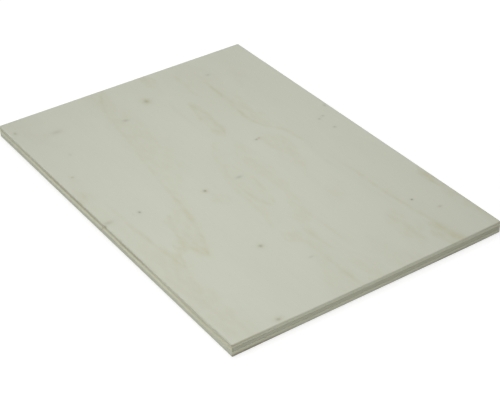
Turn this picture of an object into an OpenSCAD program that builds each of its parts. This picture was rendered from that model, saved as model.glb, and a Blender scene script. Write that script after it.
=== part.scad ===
// Plywood sheet, cut to size: three veneers glued face to face, each with its grain
// across the next one's. X runs across the sheet from its left edge to its right one,
// Y along the grain of its two faces from front to rear, and Z up. The origin is the
// middle of the underside, which the sheet lies on.

/* [Sheet] */
// Width of the sheet, across the grain of its faces
sheet_w = 200; // [60:1:1250]
// Length of the sheet, along the grain of its faces
sheet_l = 290; // [120:1:2500]
// Radius that sanding leaves on the outer arrises and the upright corners
arris_r = 0.4; // [0.1:0.05:0.5]

/* [Veneers] */
// Thickness of the face veneer, the upper one
face_t = 2.7; // [0.8:0.1:4]
// Thickness of the core veneer, whose grain runs across the sheet
core_t = 2.6; // [0.8:0.1:6]
// Thickness of the back veneer, the lower one
back_t = 2.7; // [0.8:0.1:4]

/* [Core split] */
// Place of the split along the left edge, from the middle of that edge
split_y = 0; // [-40:0.5:40]
// Width of the split at its mouth
split_w = 0.5; // [0.2:0.1:1.5]
// Depth of the split, from the edge into the core
split_depth = 6; // [1:0.5:25]
// Lean of the split from upright, the upper end towards the front
split_lean = 45; // [0:1:60]

/* [Hidden] */
$fn = 48;
// Heights of the two glue lines
core_z = back_t;
face_z = core_z + core_t;
// Length that a cutting tool runs past the wood on each side
overrun = 1;
// The split is cut by a wedge: its width where it starts, outside the edge, and its
// length along the lean, which takes both ends clear of the core
split_start_w = split_w * (split_depth + overrun) / split_depth;
split_run = core_t / cos(split_lean) + split_start_w * tan(split_lean) + 2 * overrun;

// A rectangle centred on X and standing on Y = 0, with its upper corners eased, or all four
module eased_rectangle(width, height, all_four) {
    difference() {
        translate([-width / 2, 0])
            square([width, height]);
        for (side = [-1, 1]) {
            translate([side * (width / 2 - arris_r), height - arris_r])
                corner_waste(side, 1);
            if (all_four)
                translate([side * (width / 2 - arris_r), arris_r])
                    corner_waste(side, -1);
        }
    }
}

// The wood that sanding takes off one corner: a square corner outside a quarter circle
module corner_waste(side_x, side_y) {
    difference() {
        translate([side_x > 0 ? 0 : -arris_r - overrun, side_y > 0 ? 0 : -arris_r - overrun])
            square(arris_r + overrun);
        circle(arris_r);
    }
}

// Plan of the sheet, the same for every veneer
module sheet_plan() {
    translate([0, -sheet_l / 2])
        eased_rectangle(sheet_w, sheet_l, true);
}

// An outer veneer, lying on Z = 0 with its outer face up and that face's arrises eased:
// the plan, trimmed by the veneer's section across the sheet and by the one along it
module outer_veneer(thickness) {
    intersection() {
        linear_extrude(thickness)
            sheet_plan();
        rotate([90, 0, 0])
            linear_extrude(sheet_l + 2 * overrun, center = true)
                eased_rectangle(sheet_w, thickness, false);
        rotate([90, 0, 90])
            linear_extrude(sheet_w + 2 * overrun, center = true)
                eased_rectangle(sheet_l, thickness, false);
    }
}

// Wedge of the split, its mouth on the left edge and its point inside the core
module split_wedge() {
    translate([-sheet_w / 2, split_y, core_z + core_t / 2])
        rotate([split_lean, 0, 0])
            linear_extrude(split_run, center = true)
                polygon([
                    [-overrun, -split_start_w / 2],
                    [-overrun, split_start_w / 2],
                    [split_depth, 0]
                ]);
}

module face_veneer() {
    color("#c6c8b8")
        translate([0, 0, face_z])
            outer_veneer(face_t);
}

module core_veneer() {
    color("#b9baa6")
        difference() {
            translate([0, 0, core_z])
                linear_extrude(core_t)
                    sheet_plan();
            split_wedge();
        }
}

module back_veneer() {
    color("#bdbfad")
        translate([0, 0, back_t])
            mirror([0, 0, 1])
                outer_veneer(back_t);
}

face_veneer();
core_veneer();
back_veneer();
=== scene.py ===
# %% [markdown]
# # A small sheet of plywood
# The object is a sheet of bare poplar plywood, about as large as a page. It is three veneers, peeled off
# a log as paper comes off a roll and glued face to face, and the grain of the middle one runs across the
# grain of the outer two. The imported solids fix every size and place, so they are loaded first, and all
# that follows is worked out from their boxes. Lengths are in metres, and values written in millimetres
# are multiplied by MM.

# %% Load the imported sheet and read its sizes
import math

import bpy
import numpy as np
from mathutils import Matrix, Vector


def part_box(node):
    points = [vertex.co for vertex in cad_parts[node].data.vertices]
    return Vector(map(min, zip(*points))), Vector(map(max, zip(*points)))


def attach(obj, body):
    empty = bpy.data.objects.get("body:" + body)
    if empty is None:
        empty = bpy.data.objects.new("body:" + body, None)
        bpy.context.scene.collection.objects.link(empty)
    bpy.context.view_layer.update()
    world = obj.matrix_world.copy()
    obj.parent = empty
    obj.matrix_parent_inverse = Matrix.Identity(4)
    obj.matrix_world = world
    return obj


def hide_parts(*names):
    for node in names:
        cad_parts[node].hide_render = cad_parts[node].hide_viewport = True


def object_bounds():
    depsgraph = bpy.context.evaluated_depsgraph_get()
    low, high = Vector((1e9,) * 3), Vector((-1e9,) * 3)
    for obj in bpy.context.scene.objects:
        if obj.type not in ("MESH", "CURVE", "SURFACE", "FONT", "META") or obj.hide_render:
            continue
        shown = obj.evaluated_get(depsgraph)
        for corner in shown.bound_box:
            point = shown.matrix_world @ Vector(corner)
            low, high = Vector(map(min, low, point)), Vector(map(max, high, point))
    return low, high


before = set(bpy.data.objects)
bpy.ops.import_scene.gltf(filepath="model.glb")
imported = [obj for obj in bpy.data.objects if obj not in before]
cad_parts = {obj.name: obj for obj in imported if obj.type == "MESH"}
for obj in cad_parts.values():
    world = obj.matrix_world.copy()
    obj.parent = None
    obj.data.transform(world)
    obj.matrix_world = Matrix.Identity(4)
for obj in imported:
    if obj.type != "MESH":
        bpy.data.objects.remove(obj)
cad_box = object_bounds()

MM = 0.001
cad_low, cad_high = (np.array(corner) for corner in cad_box)
sheet_w, sheet_l, sheet_t = cad_high - cad_low
half_w, half_l = sheet_w / 2, sheet_l / 2
veneer_heights = {name: (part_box(name)[0].z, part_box(name)[1].z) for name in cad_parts}
glue_heights = veneer_heights["core_veneer"]
print(f"sheet {sheet_w / MM:.0f} x {sheet_l / MM:.0f} x {sheet_t / MM:.1f} mm, {len(veneer_heights)} veneers")

# %% [markdown]
# ## Where the picture is taken from
# The sheet lies with one corner towards the viewer, and its long edge runs away to the left. A long lens
# keeps the far corner almost as large as the near one. A camera could be aimed by a constraint, but three
# numbers for its place, three for the point in the middle of the picture and one for its tilt say the
# same and stay readable. The tilt is there because the camera was held a little out of level.

# %% Camera
camera_place = np.array([-416.5, -645.6, 510.7]) * MM
camera_aim = np.array([-11.2, -33.4, 7.9]) * MM
camera_tilt = math.radians(-1.68)
lens_mm = 101.0


def unit(vector):
    """The vector divided by its length."""
    return np.asarray(vector, float) / np.linalg.norm(vector)


def looking_at(place, aim, tilt=0.0):
    """Matrix of a camera or lamp that looks from place to aim, its right hand level, then turned by tilt."""
    back = unit(np.subtract(place, aim))
    level = unit(np.cross((0, 0, 1), back))
    upright = np.cross(back, level)
    right = math.cos(tilt) * level + math.sin(tilt) * upright
    up = math.cos(tilt) * upright - math.sin(tilt) * level
    turned = np.eye(4)
    turned[:3] = np.stack([right, up, back, place], axis=1)
    return Matrix(turned.tolist())


scene = bpy.context.scene
scene.view_settings.view_transform = "Standard"
camera = bpy.data.objects.new("camera", bpy.data.cameras.new("camera"))
camera.data.lens = lens_mm
camera.matrix_world = looking_at(camera_place, camera_aim, camera_tilt)
scene.collection.objects.link(camera)
scene.camera = camera
print(f"camera {np.linalg.norm(camera_place - camera_aim):.3f} m from the middle of the picture")

# %% [markdown]
# ## Shader arithmetic
# A finish is arithmetic on patterns, and a chain of Math nodes written one by one is hard to read. One
# small class wraps a socket, so that `1 - mask * 0.3` adds the nodes that it needs. Any other node comes
# from the method called node, which takes the type, the settings and the sockets.

# %% A class for sockets


class Strand:
    """One output of a shader node. Sums, products and powers of strands add Math nodes to their tree."""

    def __init__(self, tree, socket=None):
        self.tree = tree
        self.socket = socket

    def node(self, kind, settings=None, sockets=None, output=0):
        """Adds a node, sets its settings, then its sockets to values or strands, and gives one output."""
        made = self.tree.nodes.new(kind)
        for name, value in (settings or {}).items():
            setattr(made, name, value)
        for key, value in (sockets or {}).items():
            if isinstance(value, Strand):
                self.tree.links.new(value.socket, made.inputs[key])
            else:
                made.inputs[key].default_value = value
        return Strand(self.tree, made.outputs[output] if made.outputs else None)

    def maths(self, operation, *values):
        """A Math node with this operation on the values."""
        return self.node("ShaderNodeMath", {"operation": operation}, dict(enumerate(values)))

    def __add__(self, other):
        return self.maths("ADD", self, other)

    def __sub__(self, other):
        return self.maths("SUBTRACT", self, other)

    def __rsub__(self, other):
        return self.maths("SUBTRACT", other, self)

    def __mul__(self, other):
        return self.maths("MULTIPLY", self, other)

    def __truediv__(self, other):
        return self.maths("DIVIDE", self, other)

    def __rtruediv__(self, other):
        return self.maths("DIVIDE", other, self)

    def __pow__(self, other):
        return self.maths("POWER", self, other)

    __radd__ = __add__
    __rmul__ = __mul__

    def falling(self):
        """e to the power of minus this value: 1 at nought, and less and less above it."""
        return self.maths("EXPONENT", self * -1.0)

    def rising(self, low, high):
        """Nought up to low and 1 from high on, with a smooth rise between them."""
        sockets = {"Value": self, "From Min": low, "From Max": high}
        return self.node("ShaderNodeMapRange", {"interpolation_type": "SMOOTHSTEP"}, sockets)

    def parts(self):
        """The three numbers of a vector."""
        split = self.node("ShaderNodeSeparateXYZ", None, {0: self}).socket.node
        return [Strand(self.tree, socket) for socket in split.outputs]

    def times(self, x, y, z):
        """A vector with its three numbers multiplied by x, y and z."""
        return self.node("ShaderNodeVectorMath", {"operation": "MULTIPLY"}, {0: self, 1: (x, y, z)})

    def shaded(self, value):
        """A colour multiplied by one value."""
        return self.node("ShaderNodeVectorMath", {"operation": "SCALE"}, {0: self, "Scale": value})

    def between(self, first, second):
        """The first colour where this value is nought, the second where it is 1, and a mixture between."""
        return self.node("ShaderNodeMix", {"data_type": "RGBA"}, {0: self, 6: first, 7: second}, output=2)

    def noise(self, detail=2.0, roughness=0.5):
        """Cloudy noise round a mean of one half, read at this vector, one cloud to about one unit."""
        sockets = {"Vector": self, "Scale": 1.0, "Detail": detail, "Roughness": roughness}
        return self.node("ShaderNodeTexNoise", None, sockets)


def paint(red, green, blue):
    """A colour as it shows on a screen, from 0 to 255, as the linear colour that a socket takes."""
    shown = np.array([red, green, blue]) / 255
    linear = np.where(shown <= 0.04045, shown / 12.92, ((shown + 0.055) / 1.055) ** 2.4)
    return (*linear.tolist(), 1.0)


def new_finish(name):
    """A material with an empty tree, and the strand that starts its arithmetic."""
    finish = bpy.data.materials.new(name)
    finish.use_nodes = True
    finish.node_tree.nodes.clear()
    return finish, Strand(finish.node_tree)


print("a mid grey as a socket takes it:", [round(value, 3) for value in paint(128, 128, 128)])

# %% [markdown]
# ## Surround and lamps
# A long soft box hangs close over the sheet, turned so that it reaches from the front left to the rear
# right. The face is brightest along that line and falls off to the two other corners. A weak lamp low on
# the left lifts the long edge above the short one, and the surround fills the rest. The three add up to
# about 1 on the face, so that a colour shows nearly as it is written.

# %% Lamps
surround_light = 0.25
box_place = np.array([-43.0, -20.0, 400.0]) * MM
box_size = (0.83, 0.32)
box_turn = math.radians(-60)
box_watts = 1.72
side_place = np.array([-870.0, 120.0, 300.0]) * MM
side_size = (0.5, 0.5)
side_watts = 1.40


def soft_lamp(name, place, aim, size, watts, turn=0.0):
    """A rectangular lamp that shines from place to aim and can't be seen itself."""
    data = bpy.data.lights.new(name, "AREA")
    data.shape = "RECTANGLE"
    data.size, data.size_y = size
    data.energy = watts
    lamp = bpy.data.objects.new(name, data)
    lamp.matrix_world = looking_at(place, aim, turn)
    lamp.visible_camera = False
    scene.collection.objects.link(lamp)
    return lamp


def seen_directly(strand):
    """1 for rays from the camera and those that a gloss or a glass sends on, and nought for the rest."""
    path = strand.node("ShaderNodeLightPath").socket.node.outputs
    camera_ray, glossy_ray, clear_ray = (
        Strand(strand.tree, path[f"Is {kind} Ray"]) for kind in ("Camera", "Glossy", "Transmission")
    )
    return strand.maths("MINIMUM", camera_ray + glossy_ray + clear_ray, 1.0)


world = bpy.data.worlds.new("surround")
scene.world = world
world.use_nodes = True
world.node_tree.nodes.clear()
sky = Strand(world.node_tree)
sky_grey = surround_light + seen_directly(sky) * (1.0 - surround_light)
sky_shader = sky.node("ShaderNodeBackground", None, {"Color": sky_grey})
sky.node("ShaderNodeOutputWorld", None, {"Surface": sky_shader})
soft_box = soft_lamp("soft_box", box_place, (0, 0, 0), box_size, box_watts, box_turn)
soft_lamp("side_lamp", side_place, (-half_w, 0, 0), side_size, side_watts)
print(f"soft box of {box_watts} W, side lamp of {side_watts} W, surround {surround_light}")

# %% [markdown]
# ## Floor
# The sheet lies on a white sweep. Seen by the camera the floor has to be white all over, yet the light
# falls off on it as on the face. So camera rays meet a mixture of the matt floor and a glow, and at each
# place the glow makes up for the fall-off, which is nearly 1 / (1 + r squared) squared round the foot of
# the soft box, with r counted in a longer unit along the box than across it. That leaves an even white,
# keeps the soft shadow at the sheet's foot and puts no more light on the wood.

# %% White floor
floor_reach = 12.0
floor_gap = 0.1 * MM
floor_grey = 0.85
floor_veil = 0.5
floor_lift = 0.04
foot_light = 0.70
fall_along, fall_across = 0.72, 0.49

floor_mesh = bpy.data.meshes.new("floor")
floor_rim = floor_reach * np.array([[-1, -1], [1, -1], [1, 1], [-1, 1]])
floor_mesh.from_pydata(np.column_stack([floor_rim, np.full(4, -floor_gap)]).tolist(), [], [(0, 1, 2, 3)])
floor = bpy.data.objects.new("floor", floor_mesh)
scene.collection.objects.link(floor)

floor_finish, floor_start = new_finish("white_floor")
floor_x, floor_y, _ = floor_start.node("ShaderNodeTexCoord", output="Object").parts()
box_x, box_y = unit(soft_box.matrix_world.col[0][:2]).tolist()
from_foot_x, from_foot_y = floor_x - box_place[0], floor_y - box_place[1]
along_box = (from_foot_x * box_x + from_foot_y * box_y) / fall_along
across_box = (from_foot_y * box_x - from_foot_x * box_y) / fall_across
floor_lit = surround_light + foot_light / (1.0 + along_box * along_box + across_box * across_box) ** 2.0
glow_grey = (1.0 + floor_lift - (1.0 - floor_veil) * floor_grey * floor_lit) / floor_veil
matt = floor_start.node("ShaderNodeBsdfDiffuse", None, {"Color": (floor_grey, floor_grey, floor_grey, 1.0)})
glow = floor_start.node("ShaderNodeEmission", None, {"Color": glow_grey})
veil = seen_directly(floor_start) * floor_veil
floor_shader = floor_start.node("ShaderNodeMixShader", None, {0: veil, 1: matt, 2: glow})
floor_start.node("ShaderNodeOutputMaterial", None, {"Surface": floor_shader})
floor_mesh.materials.append(floor_finish)
print(f"floor of {2 * floor_reach:.0f} m, {floor_gap / MM:.1f} mm under the sheet")

# %% [markdown]
# ## The figure of a peeled veneer
# The knife that peels a log meets its year rings at a very flat angle, so a ring shows on the veneer as
# one tan line that wanders along the grain, turns in a point or closes on itself, with broad tan bands
# beside it. Noise could draw both, but they would lie anywhere. Here each line and each band is a smooth
# curve through a few points, in millimetres from the middle of the sheet, with its strength at each point
# and, for a band, its half width there.

# %% Year rings and bands of the face
FACE_RINGS = [
    # half width, then x, y and strength of each point, from the rear to the front
    (1.7, [(-18, 146, 0.4), (-21, 140, 0.5), (-28, 128, 0.45), (-31, 115, 0.25), (-34, 95, 0.15),
           (-38, 72, 0.12), (-42, 46, 0.16), (-46, 18, 0.24), (-49, -8, 0.36), (-52, -26, 0.4),
           (-55, -40, 0.35), (-58, -51, 0.4), (-62, -61, 0.5), (-65, -67, 0.6), (-68, -57, 0.4),
           (-72, -51, 0.35), (-76, -52, 0.35), (-79, -59, 0.4), (-82, -67, 0.55), (-84, -54, 0.35),
           (-85, -41, 0.32), (-86, -27, 0.35), (-87, -13, 0.3), (-87, 4, 0.2), (-87, 30, 0.1)]),
    (1.6, [(-62, -18, 0.2), (-64, -26, 0.35), (-68, -36, 0.3), (-71, -50, 0.2)]),
    (1.7, [(50, 120, 0.1), (48, 104, 0.4), (48, 90, 0.6), (47, 76, 0.5), (45, 62, 0.5), (45, 48, 0.5),
           (49, 35, 0.45), (56, 23, 0.4), (58, 10, 0.3), (60, -10, 0.05), (62, -32, 0.12),
           (63, -50, 0.35), (63, -64, 0.45), (64, -84, 0.5), (65, -98, 0.45), (67, -116, 0.45),
           (67, -130, 0.4), (68, -146, 0.4)]),
    (1.7, [(58, 2, 0.1), (56, -26, 0.2), (57, -50, 0.05), (59, -82, 0.15), (60, -98, 0.05)]),
    (1.4, [(22, 88, 0.4), (24, 68, 0.3), (23, 55, 0.3), (20, 43, 0.3), (17, 56, 0.2), (18, 70, 0.35),
           (22, 88, 0.4)]),
    (1.7, [(-2, 10, 0.2), (-5, 4, 0.3), (-8, -8, 0.2), (-8, -21, 0.4), (-7, -35, 0.35), (-2, -46, 0.25),
           (3, -35, 0.3), (4, -21, 0.3), (5, -7, 0.1), (2, 4, 0.1), (-2, 10, 0.2)]),
    (1.8, [(10, 40, 0.1), (5, 34, 0.2), (-1, 23, 0.25), (-5, 8, 0.2), (-10, -6, 0.2), (-12, -20, 0.25),
           (-12, -32, 0.3), (-13, -46, 0.25), (-15, -60, 0.3), (-17, -68, 0.1)]),
    (1.7, [(-15, -76, 0.1), (-11, -81, 0.15), (-9, -96, 0.2), (-8, -110, 0.25), (-8, -128, 0.4),
           (-7, -146, 0.4)]),
    (1.7, [(10, -68, 0.1), (11, -78, 0.25), (11, -92, 0.25), (11, -112, 0.1)]),
    (1.8, [(-2, -80, 0.1), (-1, -92, 0.3), (0, -106, 0.2), (1, -124, 0.05)]),
    (2.0, [(35, 130, 0.2), (34, 118, 0.35), (33, 106, 0.2), (34, 94, 0.1)]),
    (2.0, [(11, 98, 0.1), (10, 84, 0.18), (10, 66, 0.1), (9, 46, 0.08)]),
    (2.0, [(-101, 24, 0.25), (-96, 29, 0.25), (-92, 43, 0.12), (-90, 56, 0.1)]),
]
FACE_BANDS = [
    # x, y, half width and strength of each point, from the rear to the front
    [(-26, 150, 8, 0.22), (-27, 110, 11, 0.20), (-29, 65, 13, 0.24), (-32, 30, 12, 0.22), (-42, 6, 6, 0.12),
     (-53, -20, 6, 0.20), (-61, -42, 6, 0.28), (-66, -64, 3, 0.50)],
    [(-86, -20, 2, 0.10), (-84, -46, 3, 0.20), (-82, -68, 3, 0.45)],
    [(-64, -18, 2, 0.15), (-68, -38, 4, 0.20), (-72, -50, 5, 0.35), (-78, -56, 2, 0.30)],
    [(44, 138, 9, 0.10), (42, 105, 14, 0.14), (40, 75, 14, 0.14), (46, 50, 6, 0.15), (50, 34, 2, 0.10)],
    [(50, 100, 2, 0.05), (53, 70, 5, 0.22), (50, 48, 6, 0.26), (55, 30, 2, 0.10)],
    [(23, 92, 1, 0.20), (22, 75, 5, 0.26), (21, 55, 5, 0.28), (18, 40, 1, 0.20)],
    [(52, 138, 3, 0.10), (56, 118, 7, 0.20), (53, 96, 2, 0.10)],
    [(76, 118, 2, 0.10), (72, 105, 6, 0.16), (66, 90, 2, 0.10)],
    [(8, 36, 2, 0.08), (2, 10, 8, 0.10), (0, -15, 9, 0.10), (-6, -44, 5, 0.10), (-12, -64, 2, 0.08)],
    [(22, 34, 2, 0.10), (16, 10, 6, 0.24), (15, -20, 6, 0.24), (13, -42, 5, 0.22), (7, -62, 7, 0.24),
     (0, -80, 5, 0.20), (-6, -100, 5, 0.12), (-16, -125, 9, 0.20), (-18, -150, 10, 0.20)],
    [(40, 32, 3, 0.10), (43, 12, 8, 0.28), (42, -6, 7, 0.26), (38, -26, 4, 0.18), (34, -44, 2, 0.08)],
    [(46, -44, 2, 0.08), (38, -58, 6, 0.18), (30, -70, 2, 0.08)],
    [(54, -94, 2, 0.15), (50, -106, 7, 0.36), (49, -122, 7, 0.34), (44, -138, 3, 0.15)],
    [(64, -116, 2, 0.20), (65, -130, 6, 0.50), (66, -150, 8, 0.50)],
    [(-90, 60, 2, 0.10), (-96, 36, 6, 0.20), (-97, 18, 5, 0.18), (-95, -10, 4, 0.10), (-92, -60, 8, 0.24),
     (-90, -100, 9, 0.32), (-88, -150, 9, 0.26)],
    [(-92, 150, 8, 0.16), (-88, 120, 7, 0.18), (-80, 96, 2, 0.08)],
    [(99, -66, 1, 0.30), (98, -82, 5, 0.70), (98, -100, 4, 0.55), (99, -150, 5, 0.40)],
    [(14, 150, 4, 0.40), (15, 130, 4, 0.25), (13, 112, 2, 0.10)],
    [(4, -100, 3, 0.08), (6, -126, 6, 0.20), (5, -150, 8, 0.25)],
    [(24, -104, 3, 0.06), (24, -128, 8, 0.20), (30, -150, 10, 0.25)],
    [(-29, -12, 2, 0.10), (-26, -20, 5, 0.20), (-22, -30, 2, 0.10)],
    [(-13, -74, 2, 0.10), (-13, -83, 4, 0.25), (-12, -92, 1, 0.10)],
]
print(f"{len(FACE_RINGS)} ring lines and {len(FACE_BANDS)} bands on the face")

# %% [markdown]
# ## From curves to tan
# How tan a vertex is follows from its distance to the curves. A ring is crisp on one side, where winter
# stopped the growth, and fades out on the other. A band is even inside and soft at its edges, and these
# wander as the fibres do. The distances are worked out for the whole grid at once, one straight step of a
# curve after another, because the grid has many vertices and a curve has few steps.

# %% Tan from the distance to the curves
dice = np.random.default_rng(20)
# The soft side of a ring: its strength beside the line's own, and its reach in half widths of the line
fade_strength, fade_reach = 0.5, 2.5
# Height of one wave in the edges of the bands, in millimetres
wander_height = 0.35


def through(points, steps=12):
    """A smooth line through points: cubics whose slope at a point is half the way between its neighbours."""
    p = np.asarray(points, float)
    before = np.vstack([p[:1], p[:-2]])
    after = np.vstack([p[2:], p[-1:]])
    start, end = p[:-1], p[1:]
    leave, arrive = (end - before) / 2, (after - start) / 2
    t = np.linspace(0, 1, steps, endpoint=False)[:, None, None]
    cubic = (2 * start - 2 * end + leave + arrive) * t**3
    cubic = cubic + (3 * end - 3 * start - 2 * leave - arrive) * t**2 + leave * t + start
    return np.vstack([cubic.transpose(1, 0, 2).reshape(-1, p.shape[1]), p[-1:]])


def beside(x, y, line):
    """Each place's distance to a line of straight steps, its side of it and the line's other values there."""
    nearest, side = np.full(x.shape, np.inf), np.zeros(x.shape)
    others = np.zeros((line.shape[1] - 2, *x.shape))
    for (x0, y0, *start), (x1, y1, *end) in zip(line[:-1], line[1:]):
        step_x, step_y = x1 - x0, y1 - y0
        share = np.clip(((x - x0) * step_x + (y - y0) * step_y) / (step_x**2 + step_y**2), 0, 1)
        gap = np.hypot(x - x0 - share * step_x, y - y0 - share * step_y)
        closer = gap < nearest
        nearest = np.where(closer, gap, nearest)
        side = np.where(closer, np.sign(step_x * (y - y0) - step_y * (x - x0)), side)
        for row, a, b in zip(others, start, end):
            row[closer] = (a + share * (b - a))[closer]
    return nearest, side, others


def cosines(x, y, across, along, count, scale=1.0):
    """Waves over the sheet: cosines of x over one length plus or minus y over another, from random starts,
    with the lengths drawn from a range across the grain and one along it, times scale."""
    lengths_x, lengths_y = dice.uniform(*across, count) * scale, dice.uniform(*along, count) * scale
    turns, starts = dice.choice([-1, 1], count), dice.uniform(0, 2 * math.pi, count)
    waves = zip(lengths_x, lengths_y, turns, starts)
    return np.cos([2 * math.pi * (x / a + turn * y / b) + start for a, b, turn, start in waves])


def wandering(x, y):
    """A shift across the grain in millimetres: a sum of waves, longer along the grain than across it."""
    return wander_height * np.sum(cosines(x, y, across=(6, 30), along=(14, 70), count=30), axis=0)


def peeled_figure(x, y, rings, bands):
    """How tan a veneer is at places in millimetres: the strongest ring line there plus the strongest band."""
    lines, zones = np.zeros(x.shape), np.zeros(x.shape)
    for half_width, points in rings:
        gap, side, (strength,) = beside(x, y, through(points))
        crisp = np.exp(-((gap / half_width) ** 2))
        fading = fade_strength * np.exp(-gap / (fade_reach * half_width)) * (side > 0)
        lines = np.maximum(lines, strength * np.maximum(crisp, fading))
    shifted = x + wandering(x, y)
    for points in bands:
        gap, _, (half_width, strength) = beside(shifted, y, through(points, steps=5))
        zones = np.maximum(zones, strength * np.exp(-((gap / half_width) ** 4)))
    return lines + zones


print(f"the longest ring line has {max(len(through(points)) for _, points in FACE_RINGS) - 1} straight steps")

# %% [markdown]
# ## Pin knots
# Buds that never grew leave pin knots, dots of a few millimetres, some drawn out across the grain and some
# in a tan halo. A dot is only a few steps of the mesh wide, so its darkness can't be stored at the
# vertices. What is stored is the place relative to the nearest knot, in units of that knot's own radius.
# That is a straight-line function of the place, so it stays exact between vertices, and the finish draws
# the round dot from it. The halo is soft enough to be stored with the figure.

# %% Knots of the face
FACE_KNOTS = [
    # place, radius across and along the grain, darkness, redness, strength of the tan halo
    ((-0.5, 112.4), (1.4, 1.9), 0.33, 0.3, 0.75),
    ((-28.6, -7.7), (0.9, 1.0), 0.58, 0.4, 0.50),
    ((-33.9, -77.7), (1.1, 1.1), 0.47, 0.2, 0.45),
    ((-65.5, -141.0), (1.4, 1.2), 0.39, 0.3, 0.45),
    ((-25.5, 98.6), (1.9, 1.5), 0.28, 0.2, 0.0),
    ((-71.4, 113.6), (3.2, 2.0), 0.18, 0.5, 0.15),
    ((-74.8, -3.3), (0.7, 0.9), 0.53, 0.0, 0.30),
    ((55.4, 118.3), (1.3, 1.2), 0.21, 0.2, 0.0),
    ((33.3, 23.8), (0.8, 0.8), 0.48, 0.6, 0.05),
    ((35.8, 24.4), (0.8, 0.8), 0.36, 0.6, 0.05),
    ((71.4, -93.7), (0.6, 0.6), 0.78, 0.3, 0.20),
    ((-1.9, -7.3), (2.2, 1.2), 0.26, 0.0, 0.0),
    ((-96.6, -1.9), (2.9, 1.7), 0.23, 0.4, 0.15),
    ((-89.8, 57.2), (1.1, 0.8), 0.22, 0.6, 0.0),
    ((-95.6, 128.9), (0.8, 1.2), 0.27, 0.1, 0.30),
    ((-77.8, 82.7), (0.9, 1.5), 0.13, 0.1, 0.0),
    ((85.6, 5.3), (0.9, 0.9), 0.32, 0.3, 0.0),
    ((83.6, 19.9), (0.8, 0.9), 0.30, 0.3, 0.0),
    ((88.0, 21.9), (0.8, 0.9), 0.28, 0.3, 0.0),
    ((97.4, 32.3), (0.8, 1.2), 0.25, 0.2, 0.0),
    ((-15.8, -104.5), (1.4, 0.8), 0.18, 0.2, 0.0),
    ((80.8, -109.8), (1.3, 0.9), 0.26, 1.0, 0.0),
]
# In radii of a knot: a place that no knot marks. In squares of a radius: how fast the halo falls off
far_off = 99.0
halo_spread = 6.0


def from_nearest_knot(x, y, knots):
    """Places relative to their nearest knot, in that knot's radii, with its darkness, redness and halo."""
    found = np.zeros((5, *x.shape))
    found[:2] = far_off
    for (knot_x, knot_y), (radius_x, radius_y), *looks in knots:
        right, ahead = (x - knot_x) / radius_x, (y - knot_y) / radius_y
        closer = right**2 + ahead**2 < found[0] ** 2 + found[1] ** 2
        found[:, closer] = np.stack([right[closer], ahead[closer], *np.outer(looks, np.ones(closer.sum()))])
    return found


def knot_fall(across, along, spread):
    """What is left of a knot's effect: e to the power of minus the squared distance divided by spread."""
    return np.exp(-(across**2 + along**2) / spread)


print(f"{len(FACE_KNOTS)} pin knots on the face")

# %% [markdown]
# ## The grid under a veneer
# Every veneer is built on one grid of lines over the sheet's plan, close enough together for the figure.
# The saw and the sandpaper leave a quarter round of less than half a millimetre on each arris, and three
# lines near every edge are enough to bend it. The upright corners are the first to be knocked, so three of
# them have worn rounder, and only the one nearest to the viewer is still crisp. The numbers round the rim
# of the grid are wanted often, because the edge of the veneer hangs from them.

# %% Grid lines, rounds and rim
arris_r = 0.4 * MM
corner_radii = MM * np.array([
    [0.45, 0.9],  # left edge, front and rear
    [1.3, 1.0],  # right edge, front and rear
])
grid_step = 0.9 * MM
# A line of the even grid that comes this close to an extra one gives way to it
least_gap = 0.35 * grid_step
# How much more a place has to face sideways to count as long edge, so that rounding can't split a corner
side_margin = 1.01


def grid_lines(span, extra=()):
    """Places of the lines over a span: on the round at each end, in even steps between, and some extra."""
    round_in = arris_r * (1 - np.sin(np.radians([90.0, 45.0])))
    steps = round((span - 2 * arris_r) / grid_step)
    inner = np.linspace(-span / 2 + arris_r, span / 2 - arris_r, steps + 1)
    for place in extra:
        inner = inner[np.abs(inner - place) > least_gap]
    return np.sort(np.concatenate([-span / 2 + round_in, inner, extra, span / 2 - round_in]))


def past_corner(x, y):
    """How far places lie past the start of the round of the corner in their own quarter of the sheet, across
    it and along it, each from nought to that corner's radius, and the radius."""
    radius = corner_radii[(x > 0).astype(int), (y > 0).astype(int)]
    over_x = np.clip(np.abs(x) - (half_w - radius), 0, radius)
    over_y = np.clip(np.abs(y) - (half_l - radius), 0, radius)
    return over_x, over_y, radius


def plan_grid(extra=()):
    """x and y of the grid. Past the start of a corner's round a place keeps its direction, and its distance
    becomes the longer of its two overlaps, so that squares round the start turn into circles."""
    x, y = np.meshgrid(grid_lines(sheet_w), grid_lines(sheet_l, extra), indexing="ij")
    over_x, over_y, _ = past_corner(x, y)
    longer, distance = np.maximum(over_x, over_y), np.hypot(over_x, over_y)
    drawn = 1 - np.divide(longer, distance, out=np.ones_like(x), where=distance > 0)
    return x - np.sign(x) * over_x * drawn, y - np.sign(y) * over_y * drawn


def round_drop(x, y):
    """How far the round of an arris lies under the face: r less the root of r squared less overlap squared,
    where the overlap is how far the place lies past the start of that round."""
    over_x, over_y, radius = past_corner(x, y)
    overlap = np.clip(np.hypot(over_x, over_y) - (radius - arris_r), 0, arris_r)
    return arris_r - np.sqrt(arris_r**2 - overlap**2)


def outward(x, y):
    """The direction out of the sheet at places on its rim: square to the edge, and turning at a corner."""
    over_x, over_y, radius = past_corner(x, y)
    return np.sign(x) * over_x / radius, np.sign(y) * over_y / radius


def on_long_edge(x, y):
    """True for places on the rim that face left or right more than they face front or rear."""
    out_x, out_y = outward(x, y)
    return np.abs(out_x) > side_margin * np.abs(out_y)


def rim_of(grid):
    """A grid's numbers round its rim, anticlockwise seen from above: front, right, rear and left."""
    return np.concatenate([grid[:-1, 0], grid[-1, :-1], grid[:0:-1, -1], grid[0, :0:-1]])


print(f"{len(grid_lines(sheet_w))} x {len(grid_lines(sheet_l))} grid lines")

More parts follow.
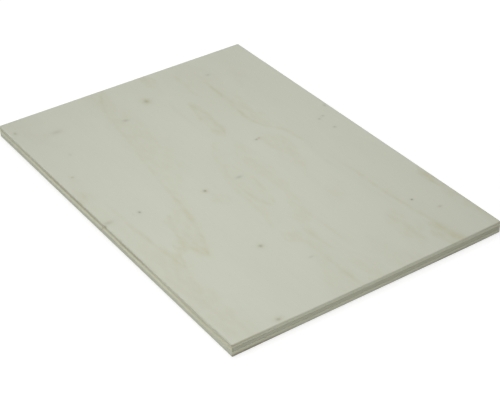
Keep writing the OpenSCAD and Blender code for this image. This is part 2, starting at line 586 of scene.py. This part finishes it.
# %% [markdown]
# ## The outer face
# A sanded veneer is flat to the eye, but not quite: it keeps a slow waviness along the grain, the hard
# ring lines stand a hair above the soft wood between them, and every knot has sunk as it dried. The belt
# has also taken a little more off the middle of the front edge and off the rear, which bends the line of
# the arris by a hair, and the underside has lost a little at its right-hand corner, where the sheet was
# set down. All of it is a height over the grid, and all of it is cut inwards, so that the sheet never
# outgrows its box.

# %% Height of the outer face
# Depths in millimetres: of the slow waves, of the soft wood between ring lines and of a very dark knot
wave_depth, soft_depth, knot_depth = 0.05, 0.02, 0.10
# In squares of a knot's radius: how fast its hollow levels out
hollow_spread = 2.0
# Width of the rim over which the waves and hollows settle in
settled_rim = 2 * MM
# What the belt took off the middle of the front edge and off the rear, in millimetres
front_loss, rear_loss = 0.22, 0.12
# What the underside lost at its right-hand corner, and how far round it
foot_loss, foot_reach = 0.3 * MM, 13 * MM


def waviness(x, y):
    """A slow unevenness from 0 to 1: the mean of waves, long along the grain and short across it."""
    waves = cosines(x, y, across=(12, 45), along=(70, 240), count=14, scale=MM)
    return 0.5 + 0.5 * np.mean(waves, axis=0)


def face_height(x, y, thickness, figure, across, along, darkness):
    """The thickness less the rounds, the waves, the soft wood between ring lines and the hollows of knots."""
    sunk = wave_depth * waviness(x, y) + soft_depth * (1 - np.clip(figure, 0, 1))
    sunk += knot_depth * darkness * knot_fall(across, along, hollow_spread)
    from_edge = np.minimum(half_w - np.abs(x), half_l - np.abs(y))
    sunk *= MM * np.clip(from_edge / settled_rim, 0, 1)
    return thickness - round_drop(x, y) - sunk


def sanded_off(x, y):
    """What the belt took off: most at the middle of the front edge, less to its ends and to the rear as two
    parabolas, and a part that grows from nought at the front as the square of the way to the rear."""
    across, along = x / half_w, (y + half_l) / sheet_l
    return MM * (front_loss * (1 - across**2) * (1 - along) ** 2 + rear_loss * along**2)


def worn_off(x, y):
    """What the underside lost at the right end of the front edge, and less round it as a bell."""
    return foot_loss * np.exp(-((x - half_w) ** 2 + (y + half_l) ** 2) / foot_reach**2)


print(f"belt took {sanded_off(0.0, -half_l) / MM:.2f} mm off the middle of the front edge")

# %% [markdown]
# ## Dirt and painted shade on the edges
# A bare edge takes up dirt wherever it is held or set down. Noise would spread it evenly, so every stain
# is a soft spot of its own, with a strength, a middle on its edge and a reach along the edge and up it.
# Some spots are painted shade, not dirt: a painted shadow along the foot of the front edge and at the foot
# of the left edge near the front corner, painted shade round the end of the hair crack, and a front edge
# painted darker towards its right end. The strongest lie at the foot of the front edge, round the end of
# the hair crack and on the arris of the front corner.

# %% Stains and painted shade
EDGE_STAINS_AND_SHADE = {
    # strength, middle along the edge and height, reach along and up, in millimetres
    "left": [
        (0.30, (-44, 6.8), (8, 0.6)),
        (0.24, (-33, 6.8), (15, 0.9)),
        (0.18, (-27, 5.8), (11, 0.9)),
        # Painted shade round the end of the hair crack
        (0.50, (-4.2, 7.6), (1.2, 0.8)),
        (0.24, (15, 6.5), (17, 1.1)),
        (0.22, (56, 6.0), (28, 1.1)),
        (0.09, (45, 6.4), (85, 1.5)),
        (0.16, (-15, 1.5), (75, 1.2)),
        (0.06, (122, 4.2), (14, 1.4)),
        (0.10, (-30, 8.0), (25, 0.8)),
        (0.15, (-110, 8.1), (55, 0.6)),
        (0.22, (-145, 8.2), (14, 0.6)),
        (0.12, (-120, 4.6), (40, 1.0)),
        (0.10, (-142, 5.2), (12, 0.9)),
        # Painted shadow at the foot of the left edge near the front corner, not dirt
        (0.20, (-140, 0.3), (20, 0.7)),
    ],
    "front": [
        (0.37, (-88, 8.0), (42, 0.5)),
        (0.11, (-69, 8.2), (13, 0.5)),
        (0.16, (-98, 8.2), (11, 0.6)),
        (0.25, (94, 8.0), (16, 0.6)),
        # The next three spots are painted shadow along the foot of the front edge, not dirt
        (0.75, (-90, 0.5), (26, 1.0)),
        (0.62, (61, 0.3), (24, 0.6)),
        (0.30, (10, 0.1), (85, 0.7)),
        (0.06, (-66, 2.6), (30, 1.0)),
        (0.09, (-98, 6.0), (16, 3.0)),
        # Painted shade: the front edge made darker towards its right end
        (0.07, (104, 4.0), (40, 6.0)),
    ],
}
# Places no further in than this belong to an edge
edge_zone = 1 * MM


def edge_stain_and_shade(x, y, z):
    """How stained the edges are, and how darkened by painted shadow and shade: for each spot its strength
    times e to the power of minus the squared distance from its middle, counted in its two reaches."""
    edges = {"left": (x < -half_w + edge_zone, y), "front": (y < -half_l + edge_zone, x)}
    stain_and_shade = np.zeros(x.shape)
    for edge, spots in EDGE_STAINS_AND_SHADE.items():
        on_edge, run = edges[edge]
        for strength, (middle, height), (reach, rise) in spots:
            away = ((run / MM - middle) / reach) ** 2 + ((z / MM - height) / rise) ** 2
            stain_and_shade += strength * on_edge * np.exp(-away)
    return stain_and_shade


print(f"{sum(map(len, EDGE_STAINS_AND_SHADE.values()))} stains on the two edges in view")

# %% [markdown]
# ## Split and glue lines
# Halfway along the left edge the core has split, and the split goes on in the face veneer as a hair crack.
# Both lean towards the front as they rise, the crack a little more. The wood beside them has slipped: in
# front of the split and round the front corner the glue lines have climbed a little, and behind the split
# the lower one has sunk. Shifting whole veneers would open gaps, so the slip is only a small rise of the
# places on the edge, full at the glue lines and nought at the foot and at the face.

# %% Lean of the split and rise of the glue lines
core_lean, crack_lean = math.radians(45), math.radians(52)
# Rises of the lower and the upper glue line, in millimetres
RISE_BEFORE_SPLIT = (0.3, 0.3)
RISE_BEHIND_SPLIT = (-0.35, 0.0)
RISE_AT_CORNER = (1.0, 0.7)
# Where the rises on the left edge end, before the split and behind it, and the length of their slopes there
slip_front, slip_rear, slip_slope = -95 * MM, 115 * MM, 35 * MM
# Length of the slope just behind the split, and how far before it the rise breaks off
behind_slope, split_margin = 12 * MM, 0.1 * MM
# Reach of the rise round the front corner, along the front edge and along the left one
corner_reach_x, corner_reach_y = 40 * MM, 22 * MM


def split_place(heights):
    """Where the split crosses the left edge: nought at mid core, and on to the front by the height times the
    tangent of the lean, which changes at the upper glue line."""
    above_core = np.clip(heights - glue_heights[1], 0, None)
    in_core = np.mean(glue_heights) - heights + above_core
    return in_core * math.tan(core_lean) - above_core * math.tan(crack_lean)


def shared_out(rise, heights):
    """A rise of the two glue lines as it is at other heights, falling evenly to nought at foot and face."""
    return np.interp(heights, [0.0, *glue_heights, sheet_t], [0.0, *rise, 0.0])


def glue_climb(x, y, heights):
    """How far places on the edge rise: by one amount before the split and another behind it, both with even
    slopes along the left edge, and by a third round the front corner, falling off as a bell."""
    on_left = x < -half_w + edge_zone
    in_front = y < split_place(heights) - split_margin
    before_split = on_left * in_front * np.clip((y - slip_front) / slip_slope, 0, 1)
    behind_split = on_left * np.clip(y / behind_slope, 0, 1) * np.clip((slip_rear - y) / slip_slope, 0, 1)
    at_corner = np.exp(-(((x + half_w) / corner_reach_x) ** 2) - ((y + half_l) / corner_reach_y) ** 2)
    climb = shared_out(RISE_BEFORE_SPLIT, heights) * before_split
    climb += shared_out(RISE_BEHIND_SPLIT, heights) * behind_split
    return MM * (climb + shared_out(RISE_AT_CORNER, heights) * at_corner)


print("split at the glue lines, mm:", [round(split_place(height) / MM, 2) for height in glue_heights])

# %% [markdown]
# ## The sawn edge
# The edge is the rim carried down in rows. Along the grain the saw leaves long low streaks, and across it
# the cut ends of the fibres stand up as fuzz, so the two kinds of edge are pushed in differently. A split
# is a crease in the edge: one column of points goes deep into the wood between two that stay at its
# mouth, and the columns beside it slide so that the crease leans.

# %% Rows down the edge
edge_rows = 5
glue_nick = 0.06 * MM
# Least depth of the streaks, what is added to it at most, and the greatest depth of the fuzz, in millimetres
streak_least, streak_more, fuzz_depth = 0.03, 0.06, 0.08
# How many neighbours on each side a streak is averaged over
streak_reach = 14
# A column of points this near to a split, in widths of the split, is its bottom or belongs to its mouth
bottom_share, mouth_share = 0.1, 0.6


def smoothed(rows, reach):
    """Rows round a closed rim, each number averaged with its neighbours within reach, then made 0 to 1."""
    total = sum(np.roll(rows, shift, axis=1) for shift in range(-reach, reach + 1))
    return (total - total.min()) / np.ptp(total)


def edge_places(rim_x, rim_y, heights, grain_along_sheet, nicks, split):
    """x and y of every row of the edge, pushed in by streaks or fuzz, nicks and the split, and painted shade
    in the split.
    """
    on_side = on_long_edge(rim_x, rim_y)
    torn = dice.random((len(heights), len(rim_x)))
    streaks = streak_least + streak_more * smoothed(torn, streak_reach)
    push = MM * np.where(on_side == grain_along_sheet, streaks, fuzz_depth * torn) + nicks[:, None]
    slide, split_shade = 0.0, np.zeros(push.shape)
    if split:
        on_left = on_side & (rim_x < 0)
        from_split = rim_y - split["place"]
        beside_split = np.exp(-((from_split / split["reach"]) ** 2)) * on_left
        slide = np.outer(split_place(heights) - split["place"], beside_split)
        at_bottom = on_left & (np.abs(from_split) < bottom_share * split["width"])
        at_mouth = on_left & (np.abs(from_split) < mouth_share * split["width"])
        push = push + split["depth"] * at_bottom
        # Painted shade in the split: full at its bottom column and weaker at its mouth
        split_shade += at_mouth * np.where(at_bottom, 1.0, split["split_shade"])
    out_x, out_y = outward(rim_x, rim_y)
    return rim_x - out_x * push, rim_y - out_y * push + slide, split_shade


print(f"{edge_rows + 1} rows to an edge, pushed in by up to {max(streak_least + streak_more, fuzz_depth)} mm")

# %% [markdown]
# ## Glued sides
# A veneer is closed by its glued side, of which nothing is seen. A few long strips between the rims are
# enough there, and they spare more triangles than the whole edge needs. They keep every grid line that
# runs across the sheet, so the outer two meet the rim without a gap, and at the front and the rear one
# face with many corners joins the end of each strip to the rim.

# %% Strips of a glued side
glue_strips = 8


def grid_quads(table):
    """The four-sided faces between the numbers of a table, each anticlockwise seen from above."""
    around = [table[:-1, :-1], table[1:, :-1], table[1:, 1:], table[:-1, 1:]]
    return np.stack(around, axis=-1).reshape(-1, 4)


def glued_side(rim, x, y, height, first):
    """New places inside a glued side, numbered from first, and its faces: strips and what joins the ends."""
    nx, ny = x.shape
    columns = np.linspace(0, nx - 1, glue_strips + 1).astype(int)
    front, right = rim[:nx], rim[nx - 1:nx + ny - 1]
    rear = rim[nx + ny - 2:2 * nx + ny - 2][::-1]
    left = np.append(rim[2 * nx + ny - 3:], rim[0])[::-1]
    inside = np.ix_(columns[1:-1], np.arange(1, ny - 1))
    places = np.stack([x[inside], y[inside], np.full_like(x[inside], height)], axis=-1)
    numbers = first + np.arange(places[..., 0].size).reshape(places.shape[:2])
    table = np.vstack([left[None, 1:-1], numbers, right[None, 1:-1]])
    faces = grid_quads(table).tolist()
    for k, (a, b) in enumerate(zip(columns[:-1], columns[1:])):
        faces.append([*front[a:b + 1].tolist(), int(table[k + 1, 0]), int(table[k, 0])])
        faces.append([*rear[a:b + 1][::-1].tolist(), int(table[k, -1]), int(table[k + 1, -1])])
    return places.reshape(-1, 3), faces


print(f"{glue_strips} strips to a glued side, each {sheet_w / glue_strips / MM:.0f} mm wide")

# %% [markdown]
# ## Edge and face of one veneer
# A veneer is first made lying on nought with its outer face up, whichever way it lies in the sheet. The
# rows of its edge have a nick where the glue is, and each row knows how far from the glue it is. The face
# gets its height, and the marks that its finish will read. The two veneers with an outer face have their
# grain along the sheet. One that ends up turned over has its real heights the other way round.

# %% Edge rows and face of a veneer


def hung_edge(rim_x, rim_y, heights, has_face, turned_over, split):
    """Places in the rows of the edge, from the upper rim down, their painted shade in the split and each
    row's gap to the glue.
    """
    low, high = heights
    downs = np.linspace(arris_r if has_face else 0.0, high - low, edge_rows + 1)
    nicks = np.zeros(edge_rows + 1)
    nicks[-1] = glue_nick
    nicks[0] = 0.0 if has_face else glue_nick
    row_heights = low + downs if turned_over else high - downs
    edge_x, edge_y, split_shade = edge_places(rim_x, rim_y, row_heights, has_face, nicks, split)
    climb = glue_climb(edge_x, edge_y, row_heights[:, None])
    edge_z = high - low - downs[:, None] + (-climb if turned_over else climb)
    from_glue = np.minimum(high - low - downs, np.inf if has_face else downs)
    return np.stack([edge_x, edge_y, edge_z], axis=-1), split_shade, from_glue


def outer_face(x, y, thickness, rings, bands, knots, turned_over):
    """Heights of the outer face over the grid, and its marks, each with the value off the face."""
    figure = peeled_figure(x / MM, y / MM, rings, bands)
    across, along, darkness, redness, halo = from_nearest_knot(x / MM, y / MM, knots)
    figure += halo * knot_fall(across, along, halo_spread)
    z = face_height(x, y, thickness, figure, across, along, darkness)
    z -= worn_off(x, y) if turned_over else sanded_off(x, y)
    marks = {
        "figure": (figure.ravel(), 0.0),
        "redness": (redness.ravel(), 0.0),
        "knot": (np.stack([across, along, darkness], axis=-1).reshape(-1, 3), (far_off, far_off, 0.0)),
    }
    return z, marks


print(f"an outer edge starts {arris_r / MM} mm down, where the round of the arris ends")

# %% [markdown]
# ## A closed slab
# The upper side, the edge and the lower side could be three sheets that only touch, but then the veneer
# would be open along its rims. So they share the numbers of their places there, and no seam is left. Every
# face is also given the number of its kind of surface, and the finishes are put in that order later.

# %% Slab
LONG_EDGE, END_EDGE, OUTER, GLUED = range(4)


def closed_slab(x, y, z, edge, thickness):
    """Places of a slab on nought, its faces in three lists, upper side, edge and lower side, and the numbers
    of its edge rows. The upper side has the heights z, and where there are none it is a glued side."""
    if z is None:
        rows = np.arange(edge[..., 0].size).reshape(edge_rows + 1, -1)
        inside, upper = glued_side(rows[0], x, y, thickness, rows.size)
        places = [edge.reshape(-1, 3), inside]
    else:
        grid = np.arange(x.size).reshape(x.shape)
        hanging = edge[1:].reshape(-1, 3)
        rows = np.vstack([rim_of(grid), x.size + np.arange(len(hanging)).reshape(edge_rows, -1)])
        places = [np.stack([x, y, z], axis=-1).reshape(-1, 3), hanging]
        upper = grid_quads(grid).tolist()
    inside, lower = glued_side(rows[-1], x, y, 0.0, sum(map(len, places)))
    around = np.roll(rows, -1, axis=1)
    sides = np.stack([rows[:-1], rows[1:], around[1:], around[:-1]], axis=-1).reshape(-1, 4).tolist()
    return np.vstack([*places, inside]), (upper, sides, [face[::-1] for face in lower]), rows


def edge_kinds(rim_x, rim_y, grain_along_sheet):
    """The kind of surface of each face round the rim: long grain where the edge runs with the grain."""
    on_side = on_long_edge(rim_x, rim_y)
    with_grain = (on_side & np.roll(on_side, -1)) == grain_along_sheet
    return np.where(with_grain, LONG_EDGE, END_EDGE)


print(f"{len(rim_of(plan_grid()[0]))} places round a rim without a split")

# %% [markdown]
# ## One function for three veneers
# The three veneers differ in little, so one function makes them all between two heights. The core has two
# glued sides and no outer face, and the back is made as the face is and then mirrored top to bottom. What
# a finish has to know, such as how tan the wood is and how far stains and painted shade darken it, is
# stored at the vertices under a name.

# %% Veneer from its parts


def store(mesh, name, values):
    """Stores a number or a vector at every vertex, for the finish to read."""
    kind, field = ("FLOAT", "value") if values.ndim == 1 else ("FLOAT_VECTOR", "vector")
    mesh.attributes.new(name, kind, "POINT").data.foreach_set(field, values.astype(np.float32).ravel())


def new_piece(name, points, faces, kinds):
    """An object at the origin with these places, faces and kinds, smooth but for its glued sides."""
    mesh = bpy.data.meshes.new(name)
    mesh.from_pydata(points.tolist(), [], faces)
    mesh.polygons.foreach_set("material_index", kinds.astype(np.int32))
    mesh.polygons.foreach_set("use_smooth", kinds != GLUED)
    piece = bpy.data.objects.new(name, mesh)
    scene.collection.objects.link(piece)
    print(f"{name}: {len(points)} vertices, {sum(len(face) - 2 for face in faces)} triangles")
    return piece


def veneer(name, heights, rings=None, bands=(), knots=(), turned_over=False, split=None):
    """A closed slab between two heights: with rings it has an outer face, without them two glued sides."""
    low, high = heights
    has_face = rings is not None
    x, y = plan_grid([split["place"] + k * split["width"] / 2 for k in (-1, 0, 1)] if split else ())
    rim_x, rim_y = rim_of(x), rim_of(y)
    edge, split_shade, from_glue = hung_edge(rim_x, rim_y, heights, has_face, turned_over, split)
    z, marks = None, {}
    if has_face:
        z, marks = outer_face(x, y, high - low, rings, bands, knots, turned_over)
    points, (upper, sides, lower), rows = closed_slab(x, y, z, edge, high - low)
    faces = upper + sides + lower
    if turned_over:
        points = points * (1, 1, -1) + (0, 0, high - low)
        faces = [face[::-1] for face in faces]
    points = points + (0, 0, low)
    kinds = np.concatenate([
        np.full(len(upper), OUTER if has_face else GLUED),
        np.tile(edge_kinds(rim_x, rim_y, has_face), edge_rows),
        np.full(len(lower), GLUED),
    ])
    piece = new_piece(name, points, faces, kinds)

    # Stains with painted shadow and shade on the edges, and the painted shade of the split added at its rows
    stain_and_shade = edge_stain_and_shade(*points.T)
    stain_and_shade[rows.ravel()] += split_shade.ravel()
    glue_gap = np.full(len(points), high - low)
    glue_gap[rows] = from_glue[:, None]
    store(piece.data, "stain_and_shade", stain_and_shade)
    store(piece.data, "glue_gap", glue_gap)
    for mark, (on_face, off_face) in marks.items():
        rest = np.full((len(points) - x.size, *on_face.shape[1:]), off_face)
        store(piece.data, mark, np.concatenate([on_face, rest]))
    return piece


print("every veneer stores stain and glue_gap, and one with an outer face figure, redness and knot too")

# %% [markdown]
# ## The three veneers
# The face and the core get their parts of the split, with painted shade in it, the core a deep wedge and
# the face a crack as fine as a hair. The back is never seen while the sheet lies down. It is a sheet of the
# same wood, so it gets rings, bands and knots of its own, only fewer of them.

# %% Build the veneers
BACK_RINGS = [
    # the same values as for the face, in the same order
    (1.8, [(-40, 146, 0.4), (-46, 60, 0.4), (-38, -40, 0.4), (-44, -146, 0.4)]),
    (1.8, [(18, 146, 0.3), (25, 40, 0.4), (14, -60, 0.3), (20, -146, 0.3)]),
    (1.8, [(66, 146, 0.4), (60, 20, 0.3), (70, -146, 0.4)]),
]
BACK_BANDS = [
    [(-52, 150, 9, 0.30), (-56, 60, 12, 0.35), (-50, -40, 10, 0.30), (-54, -150, 8, 0.25)],
    [(34, 150, 5, 0.20), (38, 40, 9, 0.30), (28, -60, 8, 0.25), (32, -150, 5, 0.20)],
    [(84, 120, 3, 0.15), (80, 20, 8, 0.30), (86, -110, 4, 0.15)],
]
BACK_KNOTS = [
    ((-20.0, 64.0), (1.6, 1.5), 0.40, 0.4, 0.40),
    ((52.0, -18.0), (1.2, 1.3), 0.45, 0.7, 0.30),
    ((-72.0, -96.0), (1.9, 1.4), 0.30, 0.3, 0.30),
    ((8.0, -112.0), (1.0, 1.1), 0.40, 0.9, 0.20),
]
split_at_glue, crack_at_arris = split_place(glue_heights[1]), split_place(sheet_t - arris_r)
# Place at the upper rim, width, depth, how far along the edge places slide with it, painted shade at the
# mouth
core_split = {"place": split_at_glue, "width": 0.5 * MM, "depth": 6 * MM, "reach": 4 * MM, "split_shade": 0.16}
hair_crack = {"place": crack_at_arris, "width": 0.3 * MM, "depth": 0.4 * MM, "reach": 6 * MM, "split_shade": 0.05}

face_piece = veneer("face_sheet", veneer_heights["face_veneer"], FACE_RINGS, FACE_BANDS, FACE_KNOTS,
                    split=hair_crack)
core_piece = veneer("core_sheet", veneer_heights["core_veneer"], split=core_split)
back_piece = veneer("back_sheet", veneer_heights["back_veneer"], BACK_RINGS, BACK_BANDS, BACK_KNOTS,
                    turned_over=True)

# %% [markdown]
# ## Bare wood
# Poplar is almost white, with fibres too fine to see singly. The patterns are solid: noise that is drawn
# out along the grain shows as streaks on a face or a long edge, and as specks where the fibres are cut
# across. An image wrapped round the sheet would need a seam at every arris. What the finishes share comes
# first: the colours, the way they read what the vertices hold, and the dull wood in which they end.

# %% Colours and what all finishes share
face_colour = paint(199, 201, 186)
tan_colour = paint(191, 190, 167)
grey_knot_colour = paint(98, 109, 82)
red_knot_colour = paint(140, 102, 70)
long_edge_colour = paint(195, 195, 173)
back_edge_colour = paint(198, 200, 182)
core_edge_colour = paint(193, 194, 173)
end_edge_colour = paint(213, 214, 192)
# One colour for real stains and for the painted shadow and shade on the edges
stain_and_shade_colour = paint(132, 123, 92)
glue_colour = paint(150, 142, 116)
ACROSS_SHEET, ALONG_SHEET = 0, 1
relief_strength, wood_gloss = 0.5, 0.3
# Least roughness of a sanded face and of a sawn edge, and what the fibres add to it at most
face_roughness, edge_roughness, fibre_roughness = 0.60, 0.68, 0.2


def fibre_units(grain, across, along):
    """Factors that turn metres into units of one fibre, so many millimetres across the grain and along it."""
    return [1 / ((along if axis == grain else across) * MM) for axis in range(3)]


def stored(start, name, output="Fac"):
    """What store put at the vertices under this name."""
    return start.node("ShaderNodeAttribute", {"attribute_name": name}, output=output)


def bare_wood(start, colour, roughness, relief, depth):
    """Ends a finish: dull wood of this colour and roughness, with a relief of this depth."""
    bump_sockets = {"Strength": relief_strength, "Distance": depth, "Height": relief}
    bump = start.node("ShaderNodeBump", None, bump_sockets)
    sockets = {"Base Color": colour, "Roughness": roughness, "Normal": bump, "Specular IOR Level": wood_gloss}
    shader = start.node("ShaderNodeBsdfPrincipled", None, sockets)
    start.node("ShaderNodeOutputMaterial", None, {"Surface": shader})


print("bare face as a socket takes it:", [round(value, 3) for value in face_colour])

# %% [markdown]
# ## The sanded face
# Under the sandpaper the fibres show as faint streaks that bend round every knot, with short dark pores
# between them and a slightly cloudy tone. The tan of the figure comes and goes in small patches, because
# the knife cuts in and out of a ring. A knot has a dark eye and a faint rim, both drawn from the stored
# place relative to it, and its colour lies between grey and red.

# %% Finish of the outer faces
# How far the fibres bend round a very dark knot, and in squares of its radius how far that reaches
bend_width, bend_spread = 1.2 * MM, 10.0
# Shares of a knot's eye and rim in its darkness, and how steeply the eye falls off
eye_share, rim_share, eye_fall = 0.85, 0.15, 0.9
# How much the fibres, the pores and the clouds change the tone
fibre_tone, pore_tone, cloud_tone = 0.07, 0.04, 0.05
# The least tan that the fibres and the patches leave of the figure, and what each adds to that at most
fibre_tan, more_fibre_tan = 0.6, 0.8
patch_tan, more_patch_tan = 0.55, 0.9
# Depth of a pore beside that of a fibre, and depth of the whole relief
pore_relief, face_relief = 0.6, 0.04 * MM


def outer_finish(name):
    """The sanded outer face: fibres that bend round the knots, pores, cloudy tone, figure, knots, stains and
    painted shade.
    """
    finish, start = new_finish(name)
    place = start.node("ShaderNodeTexCoord", output="Object")
    across, along, darkness = stored(start, "knot", output="Vector").parts()
    radii = across * across + along * along
    x, y, z = place.parts()
    bent_x = x + across * darkness * (radii / bend_spread).falling() * bend_width
    bent = start.node("ShaderNodeCombineXYZ", None, {0: bent_x, 1: y, 2: z})
    fibres = bent.times(*fibre_units(ALONG_SHEET, across=0.35, along=18)).noise(detail=3.0, roughness=0.6)
    dashes = bent.times(*fibre_units(ALONG_SHEET, across=0.16, along=2.4)).noise(detail=1.0)
    pores = dashes.rising(low=0.62, high=0.80)
    clouds = place.times(*fibre_units(ALONG_SHEET, across=16, along=60)).noise()
    patches = place.times(*fibre_units(ALONG_SHEET, across=3.5, along=9)).noise().rising(low=0.3, high=0.7)
    tone = 1.0 + fibre_tone * (fibres - 0.5) - pore_tone * pores + cloud_tone * (clouds - 0.5)
    tan_share = stored(start, "figure") * (fibre_tan + more_fibre_tan * fibres)
    tan_share = tan_share * (patch_tan + more_patch_tan * patches)
    wood = tan_share.between(face_colour, tan_colour)
    dark_wood = stored(start, "redness").between(grey_knot_colour, red_knot_colour)
    eye = eye_share * (radii * eye_fall).falling() + rim_share * (radii / halo_spread).falling()
    wood = (eye * darkness).between(wood, dark_wood)
    # Stains, with painted shade near the arris, darken the wood towards one colour
    wood = stored(start, "stain_and_shade").between(wood, stain_and_shade_colour)
    relief = fibres - pore_relief * pores - eye * darkness
    bare_wood(start, wood.shaded(tone), face_roughness + fibre_roughness * fibres, relief, face_relief)
    return finish


sanded = outer_finish("sanded_veneer")
print(f"{sanded.name}: {len(sanded.node_tree.nodes)} nodes")

# %% [markdown]
# ## The sawn edges
# The lathe bends the veneer as it peels it, which opens fine slanting checks that the saw lays bare. The
# two plies with end grain on the front edge are paler than the long grain beside them, the stains darken
# the wood, painted shadow darkens the foot and painted shade the split, and glue shows as a thin line at
# each joint. One function makes all of these finishes from the way the grain runs and a colour.

# %% Finishes of the edges
# How much the fibres, the broader bands and the checks change the tone
edge_fibre_tone, edge_band_tone, check_tone = 0.20, 0.18, 0.10
check_width, check_run = 0.25 * MM, 3 * MM
# The glue line: where it starts to fade and where it has gone, as gaps to the joint, and its strength
glue_start, glue_end, glue_strength = 0.05 * MM, 0.16 * MM, 0.25
edge_relief = 0.08 * MM


def edge_finish(name, grain, colour):
    """A sawn edge of a veneer: its fibres, the lathe checks across them, stains, painted shadow and shade,
    and the thin glue lines.
    """
    finish, start = new_finish(name)
    place = start.node("ShaderNodeTexCoord", output="Object")
    fibres = place.times(*fibre_units(grain, across=0.3, along=14)).noise(detail=3.0, roughness=0.6)
    bands = place.times(*fibre_units(grain, across=1.1, along=45)).noise()
    *level, height = place.parts()
    slant = (level[1 - grain] + height) / check_width
    slanted = start.node("ShaderNodeCombineXYZ", None, {0: slant, 1: height / check_run})
    checks = slanted.noise(detail=1.0).rising(low=0.64, high=0.78)
    tone = 1.0 + edge_fibre_tone * (fibres - 0.5) + edge_band_tone * (bands - 0.5) - check_tone * checks
    glue = 1.0 - stored(start, "glue_gap").rising(glue_start, glue_end)
    # Stains, painted shadow at the foot and painted shade in the split darken the edge towards one colour
    wood = stored(start, "stain_and_shade").between(colour, stain_and_shade_colour).shaded(tone)
    wood = (glue_strength * glue).between(wood, glue_colour)
    bare_wood(start, wood, edge_roughness + fibre_roughness * fibres, fibres - checks, edge_relief)
    return finish


outer_long = edge_finish("outer_long_grain", ALONG_SHEET, long_edge_colour)
outer_end = edge_finish("outer_end_grain", ALONG_SHEET, end_edge_colour)
back_long = edge_finish("back_long_grain", ALONG_SHEET, back_edge_colour)
core_long = edge_finish("core_long_grain", ACROSS_SHEET, core_edge_colour)
core_end = edge_finish("core_end_grain", ACROSS_SHEET, end_edge_colour)
finishes = {
    face_piece: {LONG_EDGE: outer_long, END_EDGE: outer_end, OUTER: sanded, GLUED: outer_long},
    core_piece: {LONG_EDGE: core_long, END_EDGE: core_end, OUTER: core_long, GLUED: core_long},
    back_piece: {LONG_EDGE: back_long, END_EDGE: outer_end, OUTER: sanded, GLUED: back_long},
}
for piece, by_kind in finishes.items():
    for kind in (LONG_EDGE, END_EDGE, OUTER, GLUED):
        piece.data.materials.append(by_kind[kind])
print("finishes:", sorted({finish.name for by_kind in finishes.values() for finish in by_kind.values()}))

# %% [markdown]
# ## Hand over
# Each veneer stands for its solid, which is hidden, and rides on the sheet's one body.

# %% Tie the veneers to the solids
for piece, node, slot in (
    (face_piece, "face_veneer", "face_wood"),
    (core_piece, "core_veneer", "core_wood"),
    (back_piece, "back_veneer", "back_wood"),
):
    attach(piece, "root")
    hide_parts(node)
